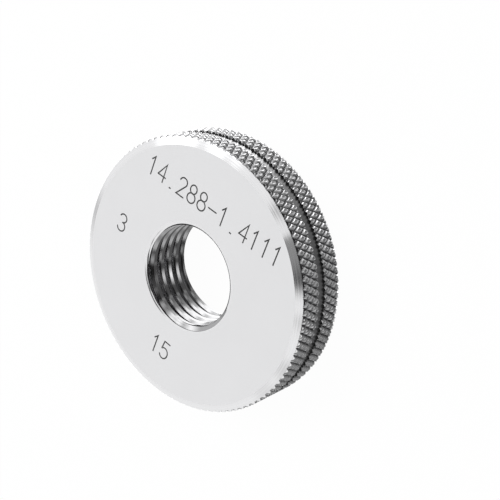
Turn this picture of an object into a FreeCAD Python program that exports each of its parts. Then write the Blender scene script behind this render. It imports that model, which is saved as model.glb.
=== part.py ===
"""Thread ring gauge, the no-go member, for a 9/16 inch external thread of 18 turns per inch.

The gauge is one turned and knurled steel ring.  It lies on its back face, with the bore
along +Z and the marked face up.  The origin is the middle of the back face.  Millimetres.
"""
import FreeCAD
import Part
import math
import os

V = FreeCAD.Vector

# Blank
outer_diameter = 36.0
thickness = 8.0

# Thread that the gauge checks
inch = 25.4
nominal_diameter = 9.0 / 16.0 * inch
threads_per_inch = 18.0

# Share of the pitch from nominal to pitch diameter, and from there to the truncated crests
flank_engagement = 0.6495
crest_truncation = 0.2

# Mouths of the bore, the same on both faces
mouth_margin = 0.22
mouth_angle = 45.0

# Chamfered edges of the rim, the same on both faces
edge_radial = 1.15
edge_axial = 0.55

# Smooth groove that parts the knurl into two bands
rim_groove_width = 1.3
rim_groove_depth = 0.34

# Diamond knurl, made of V grooves of both hands
knurl_spacing = 1.077
knurl_angle = 29.0
knurl_depth = 0.30
knurl_flank_angle = 45.0
knurl_row_offset = 0.17

# Reach of a cutter past the metal that it cuts
overrun = 0.4

outer_radius = outer_diameter / 2.0
pitch = inch / threads_per_inch
pitch_diameter = nominal_diameter - flank_engagement * pitch
bore_radius = (pitch_diameter - crest_truncation * pitch) / 2.0
mouth_radius = (nominal_diameter + mouth_margin) / 2.0
mouth_slope = math.tan(math.radians(mouth_angle))
mouth_depth = (mouth_radius - bore_radius) / mouth_slope
face_radius = outer_radius - edge_radial
groove_floor_radius = outer_radius - rim_groove_depth
groove_bottom = (thickness - rim_groove_width) / 2.0
groove_top = (thickness + rim_groove_width) / 2.0
knurl_count = round(2.0 * math.pi * outer_radius / knurl_spacing)
knurl_step = 2.0 * math.pi / knurl_count

# Diamonds have flat tops, so the rim has a flat side for each column of them
side_count = 2 * knurl_count
side_step = math.pi / knurl_count


def side_corner(index, radius, height):
    """Corner between two sides of the rim that lie at the given radius."""
    angle = (index - 0.5) * side_step
    reach = radius / math.cos(side_step / 2.0)
    return V(reach * math.cos(angle), reach * math.sin(angle), height)


def flat_face(corners):
    """Plane face inside the closed line through the corners."""
    return Part.Face(Part.makePolygon(corners + corners[:1]))


def sided_blank():
    """Solid disc with chamfered edges and a flat side for each column of diamonds."""
    levels = [
        (face_radius, 0.0),
        (outer_radius, edge_axial),
        (outer_radius, thickness - edge_axial),
        (face_radius, thickness),
    ]
    faces = []
    for radius, height in (levels[0], levels[-1]):
        faces.append(flat_face([side_corner(i, radius, height) for i in range(side_count)]))
    for lower, upper in zip(levels, levels[1:]):
        for i in range(side_count):
            below = [side_corner(i, *lower), side_corner(i + 1, *lower)]
            above = [side_corner(i + 1, *upper), side_corner(i, *upper)]
            faces.append(flat_face(below + above))
    shell = Part.makeShell(faces)
    shell.sewShape()
    return Part.makeSolid(shell)


def turned(outline):
    """Solid turned about the axis from a half section of radii and heights."""
    section = flat_face([V(radius, 0.0, height) for radius, height in outline])
    return section.revolve(V(0, 0, 0), V(0, 0, 1), 360.0)


def bore_cutter():
    """Bore at the thread crests, with both mouths."""
    wide_radius = mouth_radius + overrun * mouth_slope
    return turned([
        (0.0, -overrun),
        (wide_radius, -overrun),
        (bore_radius, mouth_depth),
        (bore_radius, thickness - mouth_depth),
        (wide_radius, thickness + overrun),
        (0.0, thickness + overrun),
    ])


def groove_cutter():
    """Smooth groove around the middle of the rim."""
    return turned([
        (groove_floor_radius, groove_bottom),
        (outer_radius + overrun, groove_bottom),
        (outer_radius + overrun, groove_top),
        (groove_floor_radius, groove_top),
    ])


def knurl_cutter(angle, band_middle, band_height, hand):
    """V cutter laid across one band at the given angle around the rim."""
    lean = math.radians(knurl_angle) * hand
    radial = V(math.cos(angle), math.sin(angle), 0.0)
    tangent = V(-math.sin(angle), math.cos(angle), 0.0)
    upward = V(0, 0, 1)
    along = tangent * math.sin(lean) + upward * math.cos(lean)
    across = tangent * math.cos(lean) - upward * math.sin(lean)
    reach = band_height / 2.0 / math.cos(lean) + overrun
    half_width = (knurl_depth + overrun) * math.tan(math.radians(knurl_flank_angle))
    start = radial * outer_radius + upward * band_middle - along * reach
    root = start - radial * knurl_depth
    left = start + radial * overrun - across * half_width
    right = start + radial * overrun + across * half_width
    return flat_face([root, right, left]).extrude(along * (2.0 * reach))


def knurled(body, band_low, band_high):
    """Body with V grooves of both hands around one band of the rim."""
    band_middle = (band_low + band_high) / 2.0
    band_height = band_high - band_low
    twist = math.tan(math.radians(knurl_angle)) / outer_radius
    crossing_height = thickness - knurl_row_offset
    for hand in (1, -1):
        first = hand * twist * (band_middle - crossing_height) + side_step
        cutters = []
        for i in range(knurl_count):
            angle = first + i * knurl_step
            cutters.append(knurl_cutter(angle, band_middle, band_height, hand))
        body = body.cut(cutters)
    return body


def gauge_ring():
    """Ring with its bore, rim groove and both knurled bands."""
    ring = sided_blank().cut([bore_cutter(), groove_cutter()])
    ring = knurled(ring, 0.0, groove_bottom)
    return knurled(ring, groove_top, thickness)


os.makedirs("parts", exist_ok=True)
ring = gauge_ring()
print("gauge_ring valid", ring.isValid(), "solids", len(ring.Solids), "faces", len(ring.Faces))
ring.exportStep("parts/gauge_ring.step")
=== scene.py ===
"""Dresses the thread ring gauge: knurled rim, threaded bore, engraved marks and steel finishes."""
import logging
import math
from dataclasses import dataclass, field
from enum import Enum
from typing import Callable, Iterable, Sequence

import bmesh
import bpy
from mathutils import Euler, Matrix, Vector


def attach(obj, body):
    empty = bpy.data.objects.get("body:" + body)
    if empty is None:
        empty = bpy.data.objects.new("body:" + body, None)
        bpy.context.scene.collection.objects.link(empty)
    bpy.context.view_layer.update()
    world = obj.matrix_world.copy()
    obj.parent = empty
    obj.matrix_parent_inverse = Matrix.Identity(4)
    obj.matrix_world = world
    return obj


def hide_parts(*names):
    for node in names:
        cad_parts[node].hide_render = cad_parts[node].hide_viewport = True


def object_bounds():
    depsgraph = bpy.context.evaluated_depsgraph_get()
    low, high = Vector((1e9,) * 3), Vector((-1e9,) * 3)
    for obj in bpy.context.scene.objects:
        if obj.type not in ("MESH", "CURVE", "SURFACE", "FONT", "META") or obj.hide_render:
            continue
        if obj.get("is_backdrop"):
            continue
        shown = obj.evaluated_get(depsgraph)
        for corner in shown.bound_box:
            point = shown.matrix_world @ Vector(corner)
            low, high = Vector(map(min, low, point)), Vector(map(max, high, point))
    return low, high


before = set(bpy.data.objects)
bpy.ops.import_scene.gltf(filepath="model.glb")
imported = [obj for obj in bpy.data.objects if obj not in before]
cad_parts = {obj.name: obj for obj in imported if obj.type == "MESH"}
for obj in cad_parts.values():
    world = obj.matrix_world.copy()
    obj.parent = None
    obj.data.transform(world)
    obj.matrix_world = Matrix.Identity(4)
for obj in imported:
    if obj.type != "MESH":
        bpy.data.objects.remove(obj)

log = logging.getLogger("ring_gauge")

MM = 0.001
FULL_TURN = 2.0 * math.pi
Point = tuple[float, float]

# Sizes shared by several parts of the ring, in millimetres, as in the solid
THICKNESS = 8.0
OUTER_RADIUS = 18.0
BORE_RADIUS = 6.5444

# Noise in the finishes: blotches per metre, turning marks per millimetre, their effect on gloss and relief
BLOTCHES = 160.0
TURNING_MARKS = 4.0
MARK_GLOSS = 0.6
MARK_RELIEF = 0.02 * MM

# Blue over grey in bare steel
COOL_TINT = 1.012


class Operation(Enum):
    """How one solid changes another."""

    KEEP_COMMON = "INTERSECT"
    CUT_AWAY = "DIFFERENCE"


class Socket:
    """An output in a node tree that Python's operators work on."""

    def __init__(self, nodes: "Nodes", link: bpy.types.NodeSocket) -> None:
        """Wrap one output socket.

        Args:
            nodes: The tree that the socket is in.
            link: The output socket.
        """
        self.nodes = nodes
        self.link = link

    def maths(self, operation: str, *values: object) -> "Socket":
        """Add a Math node.

        Args:
            operation: The Math node's operation.
            values: Its inputs in order.

        Returns:
            The node's output.
        """
        return self.nodes.add("ShaderNodeMath", {"operation": operation}, dict(enumerate(values)))

    def __add__(self, other: object) -> "Socket":
        """Sum."""
        return self.maths("ADD", self, other)

    def __radd__(self, other: object) -> "Socket":
        """Sum with the socket on the right."""
        return self.maths("ADD", other, self)

    def __sub__(self, other: object) -> "Socket":
        """Difference."""
        return self.maths("SUBTRACT", self, other)

    def __rsub__(self, other: object) -> "Socket":
        """Difference with the socket on the right."""
        return self.maths("SUBTRACT", other, self)

    def __mul__(self, other: object) -> "Socket":
        """Product."""
        return self.maths("MULTIPLY", self, other)

    def __rmul__(self, other: object) -> "Socket":
        """Product with the socket on the right."""
        return self.maths("MULTIPLY", other, self)

    def __truediv__(self, other: object) -> "Socket":
        """Quotient."""
        return self.maths("DIVIDE", self, other)

    def __rtruediv__(self, other: object) -> "Socket":
        """Quotient with the socket on the right."""
        return self.maths("DIVIDE", other, self)

    def __mod__(self, other: object) -> "Socket":
        """Remainder that is never negative."""
        return self.maths("FLOORED_MODULO", self, other)

    def floor(self) -> "Socket":
        """Whole part."""
        return self.maths("FLOOR", self)

    def root(self) -> "Socket":
        """Square root."""
        return self.maths("SQRT", self)

    def ramp(self, start: float, end: float, low: float, high: float) -> "Socket":
        """Straight ramp, held level outside its ends.

        Args:
            start: Value at which the ramp starts.
            end: Value at which it ends.
            low: Result at the start.
            high: Result at the end.

        Returns:
            The ramp's output.
        """
        values = {"Value": self, 1: start, 2: end, 3: low, 4: high}
        return self.nodes.add("ShaderNodeMapRange", {"clamp": True}, values)


class Nodes:
    """Adds nodes to one tree."""

    def __init__(self, tree: bpy.types.NodeTree) -> None:
        """Keep the tree.

        Args:
            tree: A material's, world's or geometry node tree.
        """
        self.tree = tree

    def put(self, node: bpy.types.Node, key: int | str, value: object) -> None:
        """Set or link one input of a node.

        Args:
            node: The node.
            key: The input's index or name.
            value: A Socket to link, or a constant.
        """
        target = node.inputs[key]
        if isinstance(value, Socket):
            self.tree.links.new(value.link, target)
        else:
            target.default_value = value

    def node(
        self,
        kind: str,
        settings: dict[str, object] | None = None,
        values: dict[int | str, object] | None = None,
    ) -> bpy.types.Node:
        """Add a node.

        Args:
            kind: The node's type.
            settings: Its properties, which are set first.
            values: Its inputs by index or name, as constants or Sockets.

        Returns:
            The node.
        """
        node = self.tree.nodes.new(kind)
        for name, setting in (settings or {}).items():
            setattr(node, name, setting)
        for key, value in (values or {}).items():
            self.put(node, key, value)
        return node

    def add(
        self,
        kind: str,
        settings: dict[str, object] | None = None,
        values: dict[int | str, object] | None = None,
        output: int | str = 0,
    ) -> Socket:
        """Add a node and wrap one of its outputs.

        Args:
            kind: The node's type.
            settings: Its properties, which are set first.
            values: Its inputs by index or name, as constants or Sockets.
            output: Index or name of the output.

        Returns:
            The output.
        """
        return Socket(self, self.node(kind, settings, values).outputs[output])

    def vector(self, x: object = 0.0, y: object = 0.0, z: object = 0.0) -> Socket:
        """Vector of three values.

        Args:
            x: First value or Socket.
            y: Second value or Socket.
            z: Third value or Socket.

        Returns:
            The vector's output.
        """
        return self.add("ShaderNodeCombineXYZ", {}, {0: x, 1: y, 2: z})


class GeometryTree(Nodes):
    """Geometry node tree with named inputs, run on one object and kept as a plain mesh."""

    def __init__(self, name: str, inputs: dict[str, str]) -> None:
        """Make the tree with its inputs.

        Args:
            name: The tree's name.
            inputs: Socket type of each named input.
        """
        super().__init__(bpy.data.node_groups.new(name, "GeometryNodeTree"))
        self.identifiers = {}
        for label, kind in inputs.items():
            socket = self.tree.interface.new_socket(name=label, in_out="INPUT", socket_type=kind)
            self.identifiers[label] = socket.identifier
        self.tree.interface.new_socket(name="Geometry", in_out="OUTPUT", socket_type="NodeSocketGeometry")
        self.inputs = self.tree.nodes.new("NodeGroupInput")
        self.outputs = self.tree.nodes.new("NodeGroupOutput")

    def given(self, label: str) -> Socket:
        """Named input of the tree.

        Args:
            label: The input's name.

        Returns:
            Its socket.
        """
        return Socket(self, self.inputs.outputs[label])

    def close(self, geometry: Socket) -> None:
        """End the tree in Realize Instances and Set Material.

        Args:
            geometry: What the tree makes.
        """
        real = self.add("GeometryNodeRealizeInstances", {}, {"Geometry": geometry})
        values = {"Geometry": real, "Material": self.given("Material")}
        dressed = self.add("GeometryNodeSetMaterial", {}, values)
        self.put(self.outputs, 0, dressed)

    def run(self, name: str, values: dict[str, object]) -> bpy.types.Mesh:
        """Run the tree once.

        Args:
            name: Name of the mesh.
            values: Value of each named input.

        Returns:
            The mesh that the tree makes.
        """
        carrier = bpy.data.objects.new(name, bpy.data.meshes.new(name))
        bpy.context.collection.objects.link(carrier)
        modifier = carrier.modifiers.new(name, "NODES")
        modifier.node_group = self.tree
        for label, value in values.items():
            modifier[self.identifiers[label]] = value
        graph = bpy.context.evaluated_depsgraph_get()
        mesh = bpy.data.meshes.new_from_object(carrier.evaluated_get(graph), depsgraph=graph)
        carrier.modifiers.clear()
        bpy.data.objects.remove(carrier)
        return mesh


def linked_object(name: str, mesh: bpy.types.Mesh) -> bpy.types.Object:
    """Put a mesh in the scene.

    Args:
        name: Name of the object.
        mesh: Its mesh.

    Returns:
        The object, at the origin.
    """
    made = bpy.data.objects.new(name, mesh)
    bpy.context.collection.objects.link(made)
    return made


def combined(body: bpy.types.Mesh, tool: bpy.types.Mesh, operation: Operation) -> bpy.types.Mesh:
    """Change one closed mesh by another.

    Args:
        body: The mesh that is kept.
        tool: The mesh that it is changed by.
        operation: How it is changed.

    Returns:
        The new closed mesh.
    """
    carrier = linked_object("body", body)
    cutter = linked_object("tool", tool)
    modifier = carrier.modifiers.new("combined", "BOOLEAN")
    modifier.operation = operation.value
    modifier.solver = "MANIFOLD"
    modifier.object = cutter
    graph = bpy.context.evaluated_depsgraph_get()
    mesh = bpy.data.meshes.new_from_object(carrier.evaluated_get(graph), depsgraph=graph)
    bpy.data.objects.remove(carrier)
    bpy.data.objects.remove(cutter)
    return mesh


def turned(outline: Sequence[Point], segments: int, name: str) -> bpy.types.Mesh:
    """Closed mesh turned about Z from a closed half section.

    Args:
        outline: Radii and heights of the section's corners, anticlockwise.
        segments: Flats around the axis.
        name: Name of the mesh.

    Returns:
        The mesh.
    """
    count = len(outline)
    points, faces = [], []
    for i in range(segments):
        angle = FULL_TURN * i / segments
        points += [(r * math.cos(angle), r * math.sin(angle), z) for r, z in outline]
        here, there = i * count, (i + 1) % segments * count
        for j in range(count):
            k = (j + 1) % count
            faces.append((here + j, there + j, there + k, here + k))
    mesh = bpy.data.meshes.new(name)
    mesh.from_pydata(points, [], faces)
    mesh.validate()
    return mesh


@dataclass(frozen=True)
class Steel:
    """Bare steel finish whose tone and gloss vary a little over the surface, with painted shade towards
    the roots of grooves where it is asked for.
    """

    name: str
    tone: float
    roughness: float
    streaks: float = 0.0
    streak_bump: float = 0.0
    mottling: float = 0.0
    # Painted shade in grooves: share of the tone kept at root_radius, rising to full tone at top_radius
    painted_root_shade: float | None = None
    root_radius: float = 0.0
    top_radius: float = 1.0

    def material(self) -> bpy.types.Material:
        """Make the material.

        Returns:
            The material.
        """
        made = bpy.data.materials.new(self.name)
        made.use_nodes = True
        made.node_tree.nodes.clear()
        nodes = Nodes(made.node_tree)
        if not (self.streaks or self.mottling or self.painted_root_shade):
            plain = {
                "Base Color": (self.tone, self.tone, self.tone, 1.0),
                "Metallic": 1.0,
                "Roughness": self.roughness,
            }
            shader = nodes.add("ShaderNodeBsdfPrincipled", {}, plain)
            nodes.node("ShaderNodeOutputMaterial", {}, {"Surface": shader})
            return made
        place = nodes.add("ShaderNodeTexCoord", {}, {}, "Object")
        parts = nodes.node("ShaderNodeSeparateXYZ", {}, {0: place})
        x, y, z = (Socket(nodes, parts.outputs[i]) for i in range(3))
        radius = (x * x + y * y).root() / MM
        height = z / MM
        coarse = nodes.add(
            "ShaderNodeTexNoise", {}, {"Vector": place, "Scale": BLOTCHES, "Detail": 2.0}
        ) - 0.5
        along = nodes.vector(radius * TURNING_MARKS, height * TURNING_MARKS, 0.0)
        turning = nodes.add(
            "ShaderNodeTexNoise", {}, {"Vector": along, "Scale": 1.0, "Detail": 3.0}
        ) - 0.5
        tone = self.tone + coarse * self.mottling + turning * self.streaks
        # Painted shade: darker towards the roots of the grooves
        if self.painted_root_shade is not None:
            tone = tone * radius.ramp(self.root_radius, self.top_radius, self.painted_root_shade, 1.0)
        colour = nodes.add("ShaderNodeCombineColor", {}, {0: tone, 1: tone, 2: tone * COOL_TINT})
        values = {"Base Color": colour, "Metallic": 1.0, "Roughness": self.roughness}
        if self.streaks:
            values["Roughness"] = self.roughness + turning * (self.streaks * MARK_GLOSS)
        if self.streak_bump:
            bump = {"Height": turning, "Strength": self.streak_bump, "Distance": MARK_RELIEF}
            values["Normal"] = nodes.add("ShaderNodeBump", {}, bump)
        shader = nodes.add("ShaderNodeBsdfPrincipled", {}, values)
        nodes.node("ShaderNodeOutputMaterial", {}, {"Surface": shader})
        return made


class Finish(Enum):
    """The finishes of the ring, in the order of their slots."""

    GROUND = Steel("ground_face", tone=0.78, roughness=0.34, mottling=0.03)
    TURNED = Steel("turned_edge", tone=0.79, roughness=0.10, streaks=0.12, streak_bump=0.22)
    GROOVED = Steel("groove_floor", tone=0.52, roughness=0.30, streaks=0.2)
    # Painted shade: the groove's walls are near black for the shade in its deep corners
    SHADED = Steel("groove_wall_painted_shade", tone=0.03, roughness=0.50)
    # Painted shade: darker towards the roots of the knurl's grooves
    KNURLED = Steel(
        "knurled_rim", tone=0.86, roughness=0.22, painted_root_shade=0.38, root_radius=17.72, top_radius=17.93
    )
    # Tone well below the turned edge's, though both are turned steel: painted shade for the deep bore
    THREADED = Steel("threaded_bore", tone=0.38, roughness=0.10, streaks=0.06, streak_bump=0.2)
    ETCHED = Steel("etched_marks", tone=0.10, roughness=0.55)


@dataclass
class Knurl:
    """Diamond knurl: raised diamonds with dished tops, between V grooves of both hands.

    All sizes are in millimetres.
    """

    outer_radius: float = OUTER_RADIUS
    columns: int = 105
    angle: float = math.radians(29.0)
    depth: float = 0.30
    top_height: float = THICKNESS - 0.17
    rows_above: int = 1
    rows_below: int = 10
    weld: float = 0.002
    # Each ring of a diamond: half width as a share of the cell, corner cut, height over the rim
    rings: tuple[tuple[float, float, float], ...] = (
        (0.270, 0.055, -0.020),
        (0.252, 0.052, -0.004),
        (0.235, 0.050, 0.0),
        (0.218, 0.046, -0.008),
        (0.180, 0.038, -0.060),
        (0.100, 0.025, -0.090),
    )

    @property
    def step(self) -> float:
        """Angle from one diamond to the next."""
        return FULL_TURN / self.columns

    @property
    def row_height(self) -> float:
        """Height from one row of diamonds to the next."""
        return self.outer_radius * self.step / (2.0 * math.tan(self.angle))

    def on_rim(self, a: float, b: float, height: float) -> tuple[float, float, float]:
        """Place of a point of the first diamond.

        Args:
            a: Share of the cell across the grooves of one hand.
            b: Share across the grooves of the other hand.
            height: Height over the rim.

        Returns:
            The point.
        """
        turn = (a + b) / 2.0 * self.step
        radius = self.outer_radius + height
        return (radius * math.cos(turn), radius * math.sin(turn), (b - a) * self.row_height)

    def tile(self) -> bpy.types.Mesh:
        """One diamond with its half of the grooves around it.

        Returns:
            The mesh of the tile, open at the bottoms of the grooves.
        """
        corners = ((-0.5, -0.5), (0.5, -0.5), (0.5, 0.5), (-0.5, 0.5))
        points = [self.on_rim(a, b, -self.depth) for a, b in corners]
        for half, cut, height in self.rings:
            near = half - cut
            ring = (
                (-near, -half), (near, -half), (half, -near), (half, near),
                (near, half), (-near, half), (-half, near), (-half, -near),
            )
            points += [self.on_rim(a, b, height) for a, b in ring]
        faces = []
        for i in range(4):
            before, here, there = 4 + (2 * i - 1) % 8, 4 + 2 * i, 4 + 2 * i + 1
            faces.append((i, here, before))
            faces.append((i, (i + 1) % 4, there, here))
        for k in range(len(self.rings) - 1):
            low, high = 4 + 8 * k, 12 + 8 * k
            for i in range(8):
                j = (i + 1) % 8
                faces.append((low + i, low + j, high + j, high + i))
        faces.append(tuple(range(len(points) - 8, len(points))))
        mesh = bpy.data.meshes.new("diamond")
        mesh.from_pydata(points, [], faces)
        return mesh

    def tree(self) -> GeometryTree:
        """Tree that sets the tile in rows around the rim.

        Returns:
            The tree.
        """
        tree = GeometryTree(
            "knurl_rows",
            {
                "Tile": "NodeSocketObject",
                "Columns": "NodeSocketInt",
                "Rows": "NodeSocketInt",
                "First height": "NodeSocketFloat",
                "Row height": "NodeSocketFloat",
                "Material": "NodeSocketMaterial",
            },
        )
        columns, rows = tree.given("Columns"), tree.given("Rows")
        index = tree.add("GeometryNodeInputIndex")
        # Half a column more keeps a whole quotient from rounding down
        row = (index / columns + 0.5 / self.columns).floor()
        column = index - row * columns
        turn = (column + row % 2.0 * 0.5) * (FULL_TURN / columns)
        height = tree.given("First height") + row * tree.given("Row height")
        points = tree.add(
            "GeometryNodePoints", {}, {"Count": columns * rows, "Position": tree.vector(z=height)}
        )
        tile = tree.add("GeometryNodeObjectInfo", {}, {"Object": tree.given("Tile")}, "Geometry")
        spin = tree.add("FunctionNodeEulerToRotation", {}, {0: tree.vector(z=turn)})
        placed = tree.add(
            "GeometryNodeInstanceOnPoints", {}, {"Points": points, "Instance": tile, "Rotation": spin}
        )
        real = tree.add("GeometryNodeRealizeInstances", {}, {"Geometry": placed})
        values = {"Geometry": real, "Distance": self.weld}
        tree.close(tree.add("GeometryNodeMergeByDistance", {}, values))
        return tree

    def sleeve(self) -> bpy.types.Mesh:
        """Closed solid whose wall is the knurl.

        Returns:
            The mesh.
        """
        tile = linked_object("diamond", self.tile())
        mesh = self.tree().run(
            "knurl",
            {
                "Tile": tile,
                "Columns": self.columns,
                "Rows": self.rows_above + self.rows_below + 1,
                "First height": self.top_height - self.rows_below * self.row_height,
                "Row height": self.row_height,
                "Material": None,
            },
        )
        bpy.data.objects.remove(tile)
        work = bmesh.new()
        work.from_mesh(mesh)
        border = [edge for edge in work.edges if edge.is_boundary]
        for upper in (False, True):
            edges = [e for e in border if (e.verts[0].co.z > self.top_height / 2.0) == upper]
            peak = (max if upper else min)(v.co.z for e in edges for v in e.verts)
            centre = work.verts.new((0.0, 0.0, peak))
            for edge in edges:
                work.faces.new((edge.verts[0], edge.verts[1], centre))
        bmesh.ops.recalc_face_normals(work, faces=work.faces)
        work.to_mesh(mesh)
        work.free()
        return mesh


@dataclass
class Thread:
    """Right hand internal thread, cut as one long helical ridge of a tool.

    All sizes are in millimetres.
    """

    pitch: float = 25.4 / 18.0
    root_radius: float = 7.14
    inner_radius: float = 6.20
    root_flat: float = 0.20
    flank_angle: float = math.radians(30.0)
    start_height: float = -1.8
    turns: float = 7.8
    turn_steps: int = 144
    weld: float = 1e-5

    def tree(self) -> GeometryTree:
        """Tree that sweeps the section of the ridge along a helix.

        Returns:
            The tree.
        """
        tree = GeometryTree(
            "thread_ridge",
            {
                "Turns": "NodeSocketFloat",
                "Pitch": "NodeSocketFloat",
                "Inner radius": "NodeSocketFloat",
                "Root radius": "NodeSocketFloat",
                "Inner half width": "NodeSocketFloat",
                "Root half width": "NodeSocketFloat",
                "Material": "NodeSocketMaterial",
            },
        )
        turns, inner = tree.given("Turns"), tree.given("Inner radius")
        helix = tree.add(
            "GeometryNodeCurveSpiral",
            {},
            {
                "Resolution": self.turn_steps,
                "Rotations": turns,
                "Start Radius": inner,
                "End Radius": inner,
                "Height": turns * tree.given("Pitch"),
                "Reverse": True,
            },
        )
        upright = tree.add("GeometryNodeSetCurveNormal", {"mode": "Z_UP"}, {"Curve": helix})
        reach = tree.given("Root radius") - inner
        wide, narrow = tree.given("Inner half width"), tree.given("Root half width")
        section = tree.add(
            "GeometryNodeCurvePrimitiveQuadrilateral",
            {"mode": "POINTS"},
            {
                "Point 1": tree.vector(0.0, wide),
                "Point 2": tree.vector(reach, narrow),
                "Point 3": tree.vector(reach, 0.0 - narrow),
                "Point 4": tree.vector(0.0, 0.0 - wide),
            },
        )
        values = {"Curve": upright, "Profile Curve": section, "Fill Caps": True}
        tree.close(tree.add("GeometryNodeCurveToMesh", {}, values))
        return tree

    def ridge(self) -> bpy.types.Mesh:
        """Closed helical ridge that cuts the thread.

        Returns:
            The mesh.
        """
        flank = math.tan(self.flank_angle)
        root_half = self.root_flat / 2.0
        mesh = self.tree().run(
            "thread",
            {
                "Turns": self.turns,
                "Pitch": self.pitch,
                "Inner radius": self.inner_radius,
                "Root radius": self.root_radius,
                "Inner half width": root_half + (self.root_radius - self.inner_radius) * flank,
                "Root half width": root_half,
                "Material": None,
            },
        )
        mesh.transform(Matrix.Translation((0.0, 0.0, self.start_height)))
        work = bmesh.new()
        work.from_mesh(mesh)
        bmesh.ops.remove_doubles(work, verts=work.verts, dist=self.weld)
        bmesh.ops.recalc_face_normals(work, faces=work.faces)
        work.to_mesh(mesh)
        work.free()
        return mesh


@dataclass
class Blank:
    """Turned and ground blank. All sizes are in millimetres.

    The edge is a shallow cone with a steeper outer rim, the shoulder. The stock is what the knurl cuts
    off outside it. The front mouth is rounded and the back one is a plain cone.
    """

    thickness: float = THICKNESS
    outer_radius: float = OUTER_RADIUS
    face_radius: float = 16.85
    edge_axial: float = 0.55
    shoulder_radial: float = 0.20
    shoulder_axial: float = 0.398
    shoulder_blend: float = 0.04
    stock: float = 0.30
    groove_radius: float = 17.66
    groove_width: float = 1.3
    groove_fillet: float = 0.05
    bore_radius: float = BORE_RADIUS
    mouth_radius: float = 7.254
    back_mouth_radius: float = 7.62
    mouth_bulge: float = 0.15
    mouth_steps: int = 8
    mouth_margin: float = 0.02
    segments: int = 420

    def edge(self) -> list[Point]:
        """Front edge, from the stock outside it up to the face.

        Returns:
            Its points.
        """
        run = self.outer_radius - self.face_radius
        inside = self.shoulder_radial + self.shoulder_blend
        stock_slope = self.edge_axial / run * 2.0
        cone_slope = self.shoulder_axial / (run - self.shoulder_radial)
        foot_height = self.thickness - self.edge_axial
        return [
            (self.outer_radius + self.stock, foot_height - self.stock * stock_slope),
            (self.outer_radius, foot_height),
            (self.outer_radius - self.shoulder_radial, self.thickness - self.shoulder_axial),
            (self.outer_radius - inside, self.thickness - cone_slope * (run - inside)),
            (self.face_radius, self.thickness),
        ]

    def bulge(self, share: float) -> float:
        """How far the front mouth stands off its cone, both inwards and up.

        Args:
            share: Share of the way from the bore to the face.

        Returns:
            The distance.
        """
        return 4.0 * share * (1.0 - share) * self.mouth_bulge / math.sqrt(2.0)

    def mouth(self) -> list[Point]:
        """Front mouth, from the bore up to the face.

        Returns:
            Its points.
        """
        run = self.mouth_radius - self.bore_radius
        points = []
        for i in range(self.mouth_steps + 1):
            share = i / self.mouth_steps
            bulge = self.bulge(share)
            height = self.thickness - run * (1.0 - share) + bulge
            points.append((self.bore_radius + run * share - bulge, height))
        return points

    def on_mouth(self, radius: float, height: float) -> bool:
        """Whether a point is on one of the bore's mouths.

        Args:
            radius: Its distance from the axis.
            height: Its height.

        Returns:
            True on either mouth.
        """
        if height < self.thickness / 2.0:
            return abs(radius + height - self.back_mouth_radius) < self.mouth_margin
        run = self.mouth_radius - self.bore_radius
        share = (radius + height - self.bore_radius - self.thickness + run) / (2.0 * run)
        off_cone = radius - height - (self.bore_radius - self.thickness + run)
        return 0.0 < share < 1.0 and abs(off_cone + 2.0 * self.bulge(share)) < self.mouth_margin

    def section(self) -> list[Point]:
        """Closed half section, anticlockwise with the radius to the right.

        Returns:
            Its corners.
        """
        middle, half = self.thickness / 2.0, self.groove_width / 2.0
        fillet, floor = self.groove_fillet, self.groove_radius
        outside = self.outer_radius + self.stock
        edge = self.edge()
        lower = [(r, self.thickness - z) for r, z in reversed(edge)]
        return [
            (self.bore_radius, self.back_mouth_radius - self.bore_radius),
            (self.back_mouth_radius, 0.0),
            *lower,
            (outside, middle - half),
            (floor + fillet, middle - half),
            (floor, middle - half + fillet),
            (floor, middle + half - fillet),
            (floor + fillet, middle + half),
            (outside, middle + half),
            *edge,
            *reversed(self.mouth()),
        ]

    def mesh(self) -> bpy.types.Mesh:
        """Closed mesh of the blank."""
        return turned(self.section(), self.segments, "blank")


def bow(centre: Point, across: float, up: float, start: float, end: float, steps: int = 12) -> list[Point]:
    """Points on part of an ellipse.

    Args:
        centre: Its centre.
        across: Half its width.
        up: Half its height.
        start: First angle in degrees.
        end: Last angle in degrees.
        steps: Number of straight pieces.

    Returns:
        The points.
    """
    points = []
    for i in range(steps + 1):
        turn = math.radians(start + (end - start) * i / steps)
        points.append((centre[0] + across * math.cos(turn), centre[1] + up * math.sin(turn)))
    return points


def strokes_of(character: str) -> list[list[Point]]:
    """Strokes of a plain engraved character, one unit high and half a unit wide.

    Args:
        character: A digit, a full stop or a dash.

    Returns:
        Each stroke as its points.
    """
    shapes = {
        "1": [[(0.10, 0.80), (0.27, 1.0), (0.27, 0.0)]],
        "2": [bow((0.25, 0.76), 0.24, 0.24, 170, -35) + [(0.0, 0.0), (0.5, 0.0)]],
        "3": [bow((0.24, 0.76), 0.24, 0.24, 160, -80) + bow((0.24, 0.27), 0.26, 0.27, 80, -160)],
        "4": [[(0.40, 0.0), (0.40, 1.0), (0.0, 0.30)], [(0.0, 0.30), (0.52, 0.30)]],
        "5": [[(0.46, 1.0), (0.08, 1.0), (0.03, 0.55)] + bow((0.23, 0.32), 0.27, 0.32, 135, -150)],
        "8": [
            bow((0.25, 0.76), 0.21, 0.24, -90, 270, 20),
            bow((0.25, 0.27), 0.26, 0.27, 90, 450, 20),
        ],
        ".": [[(0.21, 0.0), (0.29, 0.0)]],
        "-": [[(0.0, 0.44), (0.52, 0.44)]],
    }
    return shapes[character]


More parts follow.
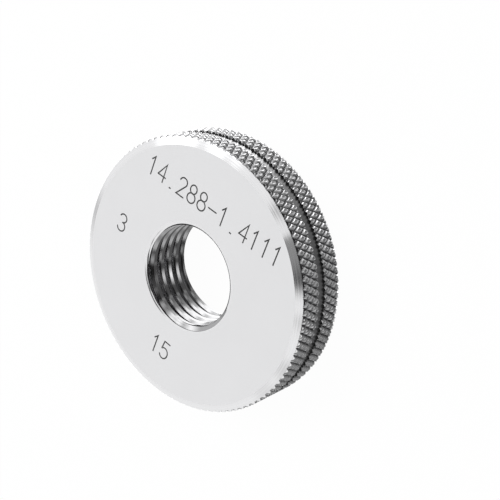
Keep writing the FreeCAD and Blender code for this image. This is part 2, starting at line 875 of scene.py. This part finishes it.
@dataclass
class Marks:
    """Shallow engraved numbers on the marked face. All sizes are in millimetres."""

    face_height: float = THICKNESS
    letter_height: float = 2.50
    advance: float = 1.765
    stroke_width: float = 0.19
    stroke_depth: float = 0.03
    tool_headroom: float = 0.2
    # Share of half the width by which a stroke's ends run on
    end_overrun: float = 0.8
    # Least cosine of half the turn at a mitred corner
    mitre_limit: float = 0.35
    # Text, x of the middle of the first character, y of the base line
    lines: tuple[tuple[str, float, float], ...] = (
        ("14.288-1.4111", -10.44, 9.14),
        ("3", -12.30, -0.80),
        ("15", -1.14, -12.80),
    )

    def paths(self) -> Iterable[list[Point]]:
        """Every stroke of every line of text, in place.

        Yields:
            The points of one stroke.
        """
        for text, first, base in self.lines:
            for i, character in enumerate(text):
                left = first + i * self.advance - self.letter_height / 4.0
                for stroke in strokes_of(character):
                    yield [
                        (left + x * self.letter_height, base + y * self.letter_height)
                        for x, y in stroke
                    ]

    def ribbon(self, path: Sequence[Point]) -> bpy.types.Mesh:
        """Closed flat bar along a path, with mitred corners.

        Args:
            path: Points of the path.

        Returns:
            The mesh.
        """
        closed = math.dist(path[0], path[-1]) < 1e-6
        points = list(path[:-1]) if closed else list(path)
        count = len(points)
        half = self.stroke_width / 2.0
        outline = []
        for i, point in enumerate(points):
            here = Vector(point)
            before = Vector(points[i - 1]) if closed or i else None
            after = Vector(points[(i + 1) % count]) if closed or i < count - 1 else None
            way_in = (here - before).normalized() if before is not None else None
            way_out = (after - here).normalized() if after is not None else None
            way_in, way_out = way_in or way_out, way_out or way_in
            side = Vector((-way_in.y - way_out.y, way_in.x + way_out.x)).normalized()
            reach = half / max(self.mitre_limit, side.dot(Vector((-way_in.y, way_in.x))))
            if not closed and i == 0:
                here = here - way_out * half * self.end_overrun
            if not closed and i == count - 1:
                here = here + way_in * half * self.end_overrun
            outline.append((here + side * reach, here - side * reach))
        low, high = self.face_height - self.stroke_depth, self.face_height + self.tool_headroom
        corners, faces = [], []
        for left, right in outline:
            corners += [(*left, low), (*right, low), (*right, high), (*left, high)]
        for i in range(count if closed else count - 1):
            here, there = 4 * i, 4 * ((i + 1) % count)
            for j in range(4):
                k = (j + 1) % 4
                faces.append((here + j, here + k, there + k, there + j))
        if not closed:
            faces += [(3, 2, 1, 0), tuple(range(4 * count - 4, 4 * count))]
        mesh = bpy.data.meshes.new("stroke")
        mesh.from_pydata(corners, [], faces)
        work = bmesh.new()
        work.from_mesh(mesh)
        bmesh.ops.recalc_face_normals(work, faces=work.faces)
        work.to_mesh(mesh)
        work.free()
        return mesh


@dataclass
class RingGauge:
    """The whole ring, made as one closed mesh."""

    blank: Blank = field(default_factory=Blank)
    knurl: Knurl = field(default_factory=Knurl)
    thread: Thread = field(default_factory=Thread)
    marks: Marks = field(default_factory=Marks)
    crease: float = math.radians(24.0)
    # Least share of a face's normal along the axis
    mouth_lean: float = 0.5
    wall_lean: float = 0.5
    edge_lean: float = 0.3
    # Most of it across the edge's slope
    edge_across: float = 0.05
    # Slack at the borders of the mouths, the face and the rest, and the deepest mark, in millimetres
    mouth_slack: float = 0.005
    face_slack: float = 0.02
    slack: float = 0.001
    deepest_mark: float = 0.2

    def shape(self) -> bpy.types.Mesh:
        """Knurl, thread and engrave the blank.

        Returns:
            The mesh, in millimetres.
        """
        mesh = combined(self.blank.mesh(), self.knurl.sleeve(), Operation.KEEP_COMMON)
        log.info("knurled: %d faces", len(mesh.polygons))
        mesh = combined(mesh, self.thread.ridge(), Operation.CUT_AWAY)
        log.info("threaded: %d faces", len(mesh.polygons))
        for path in self.marks.paths():
            mesh = combined(mesh, self.marks.ribbon(path), Operation.CUT_AWAY)
        log.info("engraved: %d faces", len(mesh.polygons))
        return mesh

    def finish_at(self, centre: Vector, normal: Vector) -> Finish:
        """Finish of one face.

        Args:
            centre: Its centre in millimetres.
            normal: Its normal.

        Returns:
            The finish.
        """
        blank = self.blank
        upright = abs(normal.z)
        radius = math.hypot(centre.x, centre.y)
        below_face = blank.thickness - centre.z
        front = centre.z > blank.thickness / 2.0
        if radius < (blank.mouth_radius if front else blank.back_mouth_radius) - self.mouth_slack:
            on_mouth = blank.on_mouth(radius, centre.z) and upright > self.mouth_lean
            return Finish.TURNED if on_mouth else Finish.THREADED
        if radius < blank.face_radius + self.face_slack:
            engraved = self.slack < below_face < self.deepest_mark
            return Finish.ETCHED if engraved else Finish.GROUND
        if abs(centre.z - blank.thickness / 2.0) < blank.groove_width / 2.0 + self.slack:
            # Upright walls of the groove take the near black painted shade
            return Finish.SHADED if upright > self.wall_lean else Finish.GROOVED
        outward = Vector((centre.x, centre.y, 0.0)).normalized()
        across = abs(normal.dot(Vector((-outward.y, outward.x, 0.0))))
        near_face = min(centre.z, below_face) < blank.edge_axial
        on_edge = near_face and across < self.edge_across and upright > self.edge_lean
        return Finish.TURNED if on_edge else Finish.KNURLED

    def build(self) -> bpy.types.Object:
        """Make the ring's piece and dress it.

        Returns:
            The piece.
        """
        mesh = self.shape()
        mesh.materials.clear()
        for finish in Finish:
            mesh.materials.append(finish.value.material())
        work = bmesh.new()
        work.from_mesh(mesh)
        for face in work.faces:
            finish = self.finish_at(face.calc_center_median(), face.normal)
            face.material_index = list(Finish).index(finish)
            face.smooth = finish not in (Finish.GROUND, Finish.ETCHED)
        for edge in work.edges:
            alike = len({face.material_index for face in edge.link_faces}) == 1
            edge.smooth = alike and edge.calc_face_angle(0.0) < self.crease
        work.to_mesh(mesh)
        work.free()
        mesh.transform(Matrix.Scale(MM, 4))
        return linked_object("ring_gauge", mesh)


@dataclass(frozen=True)
class Patch:
    """Soft edged part of the surroundings that the steel mirrors. All angles are in degrees."""

    tone: float
    azimuths: tuple[float, float]
    elevations: tuple[float, float]
    soft_across: float = 5.0
    soft_up: float = 4.0

    def cover(self, azimuth: Socket, elevation: Socket) -> Socket:
        """How much of the patch is in one direction.

        Args:
            azimuth: Azimuth of the direction.
            elevation: Its elevation.

        Returns:
            One inside the patch, nought outside.
        """
        left, right = self.azimuths
        low, high = self.elevations
        across, up = self.soft_across, self.soft_up
        return (
            azimuth.ramp(left - across, left + across, 0.0, 1.0)
            * azimuth.ramp(right - across, right + across, 1.0, 0.0)
            * elevation.ramp(low - up, low + up, 0.0, 1.0)
            * elevation.ramp(high - up, high + up, 1.0, 0.0)
        )


def mirrored_only(name: str, mesh: bpy.types.Mesh, tone: Callable[[list[Socket]], Socket]) -> None:
    """Stage a glowing surface that only mirrored rays see.

    Args:
        name: Its name.
        mesh: Its shape, in metres.
        tone: Makes the tone from the x, y and z of the place on the surface.
    """
    made = bpy.data.materials.new(name)
    made.use_nodes = True
    made.node_tree.nodes.clear()
    nodes = Nodes(made.node_tree)
    place = nodes.add("ShaderNodeTexCoord", {}, {}, "Object")
    parts = nodes.node("ShaderNodeSeparateXYZ", {}, {0: place})
    grey = tone([Socket(nodes, output) for output in parts.outputs])
    colour = nodes.add("ShaderNodeCombineColor", {}, {0: grey, 1: grey, 2: grey})
    glow = nodes.add("ShaderNodeEmission", {}, {"Color": colour})
    nodes.node("ShaderNodeOutputMaterial", {}, {"Surface": glow})
    mesh.materials.append(made)
    staged = linked_object(name, mesh)
    staged.visible_camera = False
    staged.visible_diffuse = False
    staged.visible_shadow = False
    staged.visible_transmission = False
    staged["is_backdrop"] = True


@dataclass(frozen=True)
class Glint:
    """Small round light under the bore that its crests mirror. Sizes are in metres."""

    centre: tuple[float, float, float] = (0.0044, 0.0016, -0.0073)
    radius: float = 0.0034
    middle_tone: float = 2.6
    rim_tone: float = 0.1

    def tone(self, place: list[Socket]) -> Socket:
        """Tone that fades towards the rim.

        Args:
            place: The place on the light.

        Returns:
            The tone.
        """
        x, y = place[0] - self.centre[0], place[1] - self.centre[1]
        return (x * x + y * y).root().ramp(0.0, self.radius, self.middle_tone, self.rim_tone)

    def build(self) -> None:
        """Stage the light."""
        work = bmesh.new()
        bmesh.ops.create_circle(work, cap_ends=True, segments=32, radius=self.radius)
        bmesh.ops.translate(work, verts=work.verts, vec=self.centre)
        mesh = bpy.data.meshes.new("glint")
        work.to_mesh(mesh)
        work.free()
        mirrored_only("glint", mesh, self.tone)


@dataclass(frozen=True)
class Flag:
    """Dark upright card beside the ring, lighter above. Sizes are in metres."""

    distance: float = 0.032
    sides: tuple[float, float] = (-0.030, 0.024)
    heights: tuple[float, float] = (-0.030, 0.007)
    fade: tuple[float, float] = (-0.013, -0.008)
    tones: tuple[float, float] = (0.12, 0.27)

    def tone(self, place: list[Socket]) -> Socket:
        """Tone, which rises between the ends of the fade.

        Args:
            place: The place on the card.

        Returns:
            The tone.
        """
        return place[2].ramp(*self.fade, *self.tones)

    def build(self) -> None:
        """Stage the card."""
        x, (left, right), (low, high) = self.distance, self.sides, self.heights
        mesh = bpy.data.meshes.new("flag")
        rectangle = [(x, left, low), (x, right, low), (x, right, high), (x, left, high)]
        mesh.from_pydata(rectangle, [], [(0, 1, 2, 3)])
        mirrored_only("flag", mesh, self.tone)


@dataclass(frozen=True)
class Dome:
    """Soft surroundings that the steel mirrors. Its radius is in metres."""

    radius: float = 1.0
    first_azimuth: float = -140.0
    # Each patch lies over the ones before it
    patches: tuple[Patch, ...] = (
        Patch(0.20, (-115.0, -5.0), (-90.0, -20.0)),
        Patch(1.30, (-130.0, -56.0), (-35.0, -11.0)),
        Patch(2.60, (-130.0, -74.0), (-35.0, -20.0), 6.0, 3.0),
        Patch(0.16, (-5.0, 78.0), (-90.0, -10.0)),
        Patch(0.80, (-5.0, 75.0), (-14.0, 20.0)),
        Patch(0.30, (78.0, 215.0), (-90.0, 5.0)),
        Patch(0.50, (95.0, 215.0), (-90.0, -24.0)),
        Patch(1.05, (111.0, 215.0), (-90.0, -24.0)),
        Patch(2.40, (128.0, 215.0), (-90.0, -24.0)),
        Patch(1.80, (132.0, 215.0), (-24.0, 0.0)),
        Patch(3.40, (133.0, 147.0), (41.0, 57.0)),
        Patch(3.60, (147.0, 158.0), (34.0, 51.0)),
        Patch(2.60, (158.0, 178.0), (24.0, 41.0)),
        Patch(0.50, (-77.0, -66.0), (28.0, 37.0)),
        Patch(0.20, (-66.0, -50.0), (38.0, 47.0)),
        Patch(0.05, (-46.0, -22.0), (44.0, 62.0), 3.0, 4.0),
        Patch(0.30, (-34.0, 62.0), (72.0, 95.0), 5.0, 3.0),
        Patch(0.02, (-24.0, 112.0), (42.0, 77.0), 6.0, 3.0),
        Patch(0.03, (20.0, 108.0), (30.0, 46.0), 8.0, 4.0),
        Patch(0.14, (112.0, 130.0), (24.0, 42.0)),
        Patch(0.10, (106.0, 131.0), (44.0, 65.0), 4.0, 3.0),
        Patch(0.16, (155.0, 225.0), (72.0, 95.0), 12.0, 4.0),
        Patch(0.22, (-145.0, -66.0), (74.0, 95.0), 12.0, 4.0),
    )

    def tone(self, place: list[Socket]) -> Socket:
        """Tone of the patch that lies on top.

        Args:
            place: The place on the dome.

        Returns:
            The tone.
        """
        x, y, z = place
        turn = y.maths("ARCTAN2", y, x) * math.degrees(1.0)
        azimuth = (turn - self.first_azimuth) % 360.0 + self.first_azimuth
        elevation = z.maths("ARCSINE", z / self.radius) * math.degrees(1.0)
        tone = 1.0
        for patch in self.patches:
            tone = tone + patch.cover(azimuth, elevation) * (patch.tone - tone)
        return tone

    def build(self) -> None:
        """Stage the dome."""
        work = bmesh.new()
        bmesh.ops.create_uvsphere(work, u_segments=96, v_segments=48, radius=self.radius)
        mesh = bpy.data.meshes.new("surroundings")
        work.to_mesh(mesh)
        work.free()
        mirrored_only("surroundings", mesh, self.tone)


@dataclass(frozen=True)
class Softbox:
    """Square lamp that faces the ring. Sizes are in metres, its power is in watts."""

    place: tuple[float, float, float] = (-0.35, 0.1, 0.45)
    width: float = 0.4
    power: float = 2.0

    def build(self) -> None:
        """Hang the lamp, unseen in the steel."""
        lamp = bpy.data.lights.new("key", "AREA")
        lamp.size = self.width
        lamp.energy = self.power
        made = bpy.data.objects.new("key", lamp)
        made.location = self.place
        made.rotation_euler = (-Vector(self.place)).to_track_quat("-Z", "Y").to_euler()
        made.visible_glossy = False
        bpy.context.collection.objects.link(made)


@dataclass
class Studio:
    """Floor, light and camera. Sizes are in metres."""

    floor_size: float = 3.0
    floor_white: float = 0.97
    world_light: float = 0.6
    camera_place: tuple[float, float, float] = (0.0666348, 0.0751444, 0.1034955 + THICKNESS * MM)
    camera_turn: tuple[float, float, float] = (-15.5542, 38.1014, 23.7768)
    lens: float = 82.13
    dome: Dome = field(default_factory=Dome)
    glint: Glint = field(default_factory=Glint)
    flag: Flag = field(default_factory=Flag)
    softbox: Softbox = field(default_factory=Softbox)

    def seen(self, nodes: Nodes) -> Socket:
        """One for rays that show the background, seen, mirrored or through glass.

        Args:
            nodes: The tree.

        Returns:
            The sum of the three kinds of ray.
        """
        rays = nodes.node("ShaderNodeLightPath")
        kinds = ("Is Camera Ray", "Is Glossy Ray", "Is Transmission Ray")
        camera, glossy, through = (Socket(nodes, rays.outputs[kind]) for kind in kinds)
        return camera + glossy + through

    def world(self) -> None:
        """Pale world, white where it is seen."""
        made = bpy.data.worlds.new("studio")
        made.use_nodes = True
        made.node_tree.nodes.clear()
        nodes = Nodes(made.node_tree)
        strength = self.seen(nodes).ramp(0.0, 1.0, self.world_light, 1.0)
        sky = nodes.add("ShaderNodeBackground", {}, {"Color": (1.0, 1.0, 1.0, 1.0), "Strength": strength})
        nodes.node("ShaderNodeOutputWorld", {}, {"Surface": sky})
        bpy.context.scene.world = made

    def floor(self) -> None:
        """Plain pale floor that keeps a faint shadow."""
        made = bpy.data.materials.new("floor")
        made.use_nodes = True
        made.node_tree.nodes.clear()
        nodes = Nodes(made.node_tree)
        paint = nodes.add("ShaderNodeBsdfDiffuse", {}, {"Color": (0.9, 0.9, 0.9, 1.0)})
        white = nodes.add("ShaderNodeEmission", {}, {"Strength": 1.0})
        share = self.seen(nodes).ramp(0.0, 1.0, 0.0, self.floor_white)
        mixed = nodes.add("ShaderNodeMixShader", {}, {0: share, 1: paint, 2: white})
        nodes.node("ShaderNodeOutputMaterial", {}, {"Surface": mixed})
        half = self.floor_size / 2.0
        mesh = bpy.data.meshes.new("floor")
        square = [(-half, -half, 0), (half, -half, 0), (half, half, 0), (-half, half, 0)]
        mesh.from_pydata(square, [], [(0, 1, 2, 3)])
        mesh.materials.append(made)
        floor = linked_object("floor", mesh)
        floor.visible_glossy = False
        floor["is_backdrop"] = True

    def camera(self) -> None:
        """Camera at the photograph's place."""
        data = bpy.data.cameras.new("camera")
        data.lens = self.lens
        data.sensor_width = 36.0
        data.clip_start = 0.005
        made = bpy.data.objects.new("camera", data)
        made.location = self.camera_place
        made.rotation_euler = Euler([math.radians(a) for a in self.camera_turn])
        bpy.context.collection.objects.link(made)
        bpy.context.scene.camera = made

    def build(self) -> None:
        """Make the whole studio."""
        self.world()
        self.floor()
        self.dome.build()
        self.glint.build()
        self.flag.build()
        self.softbox.build()
        self.camera()
        bpy.context.scene.view_settings.view_transform = "Standard"


def corners() -> list[list[float]]:
    """Lowest and highest corner of what shows, as plain lists."""
    return [list(corner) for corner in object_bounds()]


def main() -> None:
    """Dress the ring and set the studio around it."""
    logging.basicConfig(level=logging.INFO, format="%(name)s: %(message)s")
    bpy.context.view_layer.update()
    ring = RingGauge().build()
    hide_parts("gauge_ring")
    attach(ring, "root")
    log.info("ring: %d faces", len(ring.data.polygons))
    Studio().build()


if __name__ == "__main__":
    main()
